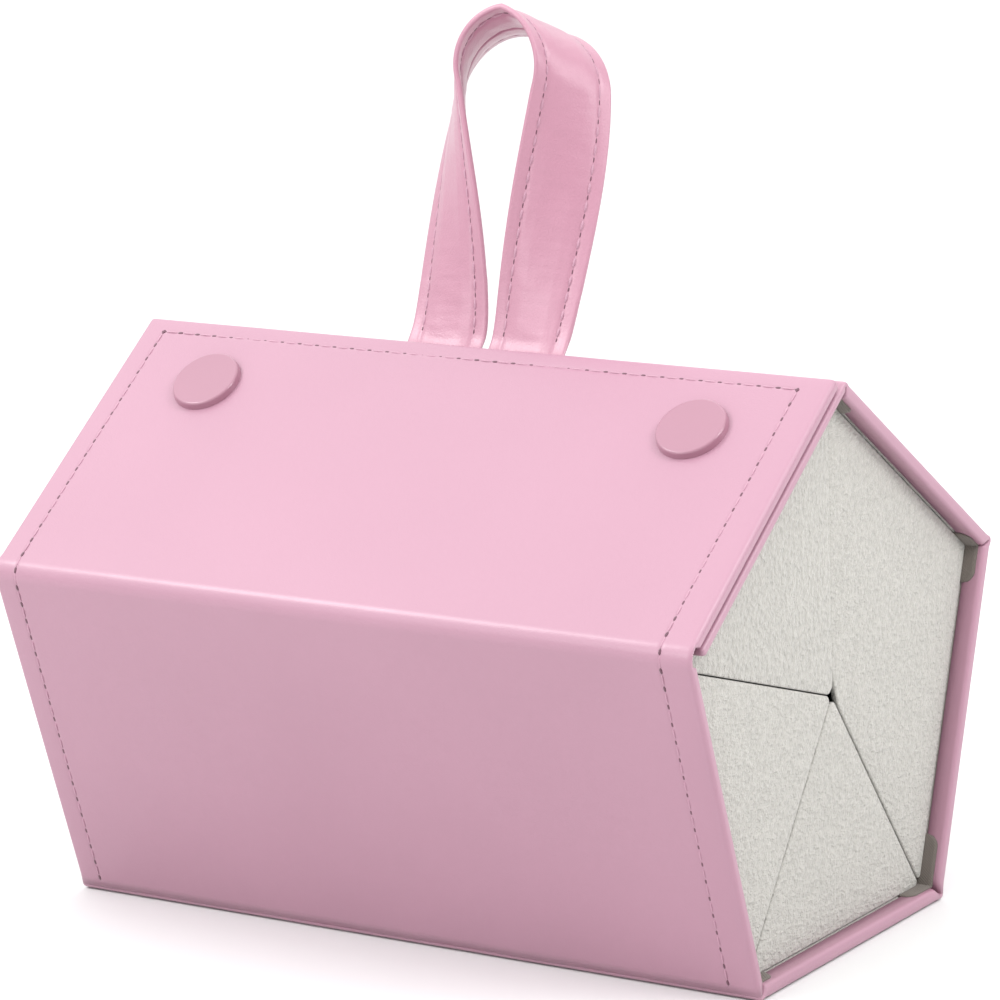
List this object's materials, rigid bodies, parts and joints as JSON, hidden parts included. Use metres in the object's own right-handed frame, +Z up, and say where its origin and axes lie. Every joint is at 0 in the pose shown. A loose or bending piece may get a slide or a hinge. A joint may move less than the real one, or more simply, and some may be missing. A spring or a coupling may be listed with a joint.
{
  "type": "jewelry box",
  "caption": "Fold-up five-sided travel jewelry box: leather panels, velvet compartments, a snap flap over the front and a strap loop handle on top.",
  "frame": {"origin": "centre of the box's own bounds, on the surface it stands on", "axes": "+X along the case, +Y to the back, away from the flap, +Z up through the handle"},
  "size_m": [0.167, 0.1236, 0.1876],
  "materials": {
    "leather": "smooth, slight sheen",
    "leather_inner": "matte",
    "cap": "smooth",
    "board": "matte",
    "velvet": "short pile",
    "hinge_lining": "matte",
    "snap_metal": "bright"
  },
  "bodies": {
    "bottom": {"bottom_cover": "leather", "bottom_board": "board", "bottom_lining": "velvet", "bottom_end_left": "velvet", "bottom_end_right": "velvet", "bottom_wall": "velvet", "fold_front_bottom": "leather", "fold_back_bottom": "leather", "strip_front_bottom": "hinge_lining", "strip_back_bottom": "hinge_lining"},
    "back": {"back_lower_cover": "leather", "back_lower_board": "board", "back_lower_lining": "velvet", "back_upper_cover": "leather", "back_upper_board": "board", "back_upper_lining": "velvet", "front_upper_cover": "leather", "front_upper_board": "board", "front_upper_lining": "velvet", "back_end_left": "velvet", "back_end_right": "velvet", "top_end_left": "velvet", "top_end_right": "velvet", "top_wall": "velvet", "fold_back": "leather", "fold_top": "leather", "strip_back": "hinge_lining", "strip_top": "hinge_lining", "handle_fold": "leather", "snap_studs": "snap_metal", "snap_washers": "snap_metal", "handle_tabs": "leather"},
    "front": {"front_lower_cover": "leather", "front_lower_board": "board", "front_lower_lining": "velvet", "front_end_left": "velvet", "front_end_right": "velvet", "front_wall": "velvet", "fold_flap": "leather"},
    "flap": {"flap_cover": "leather", "flap_board": "board", "flap_lining": "leather_inner", "snap_caps": "cap", "snap_posts": "snap_metal", "snap_sockets": "snap_metal"},
    "handle": {"handle_left": "leather", "handle_right": "leather"}
  },
  "joints": [
    {"name": "back_hinge", "type": "hinge", "parent": "bottom", "child": "back", "pos_m": [0, 0.03759, 0.0013], "axis": [-1, 0, 0], "range_deg": [0, 72]},
    {"name": "front_hinge", "type": "hinge", "parent": "bottom", "child": "front", "pos_m": [0, -0.03652, 0.0013], "axis": [1, 0, 0], "range_deg": [0, 72]},
    {"name": "flap_hinge", "type": "hinge", "parent": "front", "child": "flap", "pos_m": [0, -0.06049, 0.07508], "axis": [1, 0, 0], "range_deg": [0, 165]},
    {"name": "handle_pivot", "type": "hinge", "parent": "back", "child": "handle", "pos_m": [0, 0.0016, 0.11822], "axis": [1, 0, 0], "range_deg": [-45, 60], "stiffness_Nm_per_rad": 0.03}
  ],
  "couplings": [
    {"joint": "front_hinge", "follows": "back_hinge", "ratio": 1}
  ]
}
